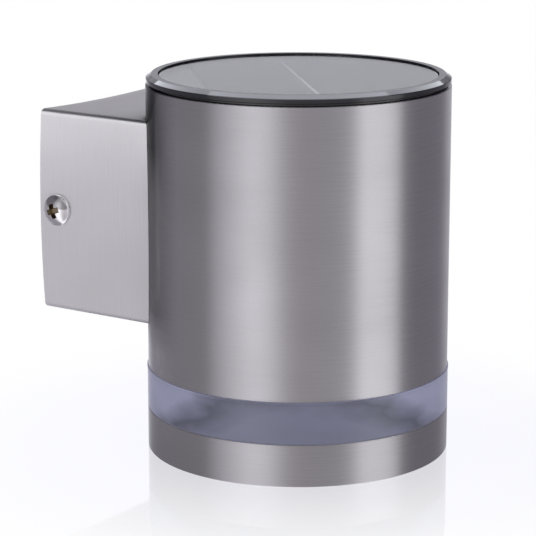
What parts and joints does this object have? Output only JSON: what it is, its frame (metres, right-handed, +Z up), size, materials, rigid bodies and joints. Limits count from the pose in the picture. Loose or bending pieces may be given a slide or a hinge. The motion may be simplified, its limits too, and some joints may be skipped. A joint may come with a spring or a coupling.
{
  "type": "solar wall light",
  "caption": "Round brushed-steel wall light on a short square arm, with a frosted light band near the foot and a solar cap that turns and lifts out of the top.",
  "frame": {"origin": "on the body's axis, in the plane that the bottom ring stands on", "axes": "+Z up along the body's axis, +Y towards the wall, -Y the light's front"},
  "size_m": [0.0766, 0.0996, 0.0953],
  "materials": {
    "brushed_tube": "brushed round the tube",
    "brushed_ring": "brushed round the ring",
    "brushed_arm": "brushed upright",
    "plate_steel": "plain sheet",
    "screw_steel": "bright",
    "polished_screw": "polished",
    "black_gloss": "gloss",
    "black_plastic": "fine texture",
    "dark_plastic": "satin",
    "white_plastic": "gloss",
    "frosted_plastic": "frosted",
    "black_rubber": "satin",
    "clear_window": "clear, with a mirror gloss",
    "solar_cell": "satin",
    "tinned_strip": "bright",
    "board_green": "satin",
    "chip_black": "satin",
    "inductor_green": "gloss",
    "lamp_lens": "clear",
    "battery_sleeve": "satin sleeve",
    "nickel": "bright",
    "red_wire": "satin",
    "black_wire": "satin"
  },
  "bodies": {
    "wall_bracket": {"wall_plate": "plate_steel"},
    "lamp_body": {"arm_housing": "brushed_arm", "arm_screws": "screw_steel", "arm_nuts": "screw_steel", "side_screws": "polished_screw", "side_nuts": "screw_steel", "body_tube": "brushed_tube", "inner_liner": "dark_plastic", "bottom_ring": "brushed_ring", "base_plate": "black_plastic", "tie_screws": "screw_steel", "diffuser": "frosted_plastic", "diffuser_upper_seal": "black_rubber", "diffuser_lower_seal": "black_rubber", "reflector": "white_plastic"},
    "seal_carrier": {"cap_seal": "black_rubber"},
    "solar_cap": {"cap_shell": "black_gloss", "solar_window": "clear_window", "solar_cell": "solar_cell", "cell_busbar": "tinned_strip", "cell_wires": "red_wire", "module_tray": "dark_plastic", "tray_screws": "screw_steel", "circuit_board": "board_green", "board_screws": "screw_steel", "driver_chip": "chip_black", "boost_inductor": "inductor_green", "led_left": "lamp_lens", "led_right": "lamp_lens", "switch_housing": "plate_steel", "battery": "battery_sleeve", "battery_spring": "nickel", "battery_contact": "nickel", "battery_wires": "black_wire", "door_pin": "nickel"},
    "bay_door": {"battery_door": "dark_plastic"},
    "power_switch": {"switch_knob": "black_plastic"}
  },
  "joints": [
    {"name": "lamp_slide", "type": "slide", "parent": "wall_bracket", "child": "lamp_body", "axis": [0, -1, 0], "range_m": [0, 0.03]},
    {"name": "cap_lift", "type": "slide", "parent": "lamp_body", "child": "seal_carrier", "axis": [0, 0, 1], "range_m": [0, 0.045]},
    {"name": "cap_turn", "type": "hinge", "parent": "seal_carrier", "child": "solar_cap", "pos_m": [0, 0, 0], "axis": [0, 0, -1], "range_deg": [0, 22]},
    {"name": "door_hinge", "type": "hinge", "parent": "solar_cap", "child": "bay_door", "pos_m": [0, 0.01505, 0.0692], "axis": [1, 0, 0], "range_deg": [0, 85]},
    {"name": "switch_slide", "type": "slide", "parent": "solar_cap", "child": "power_switch", "axis": [1, 0, 0], "range_m": [0, 0.002]}
  ]
}
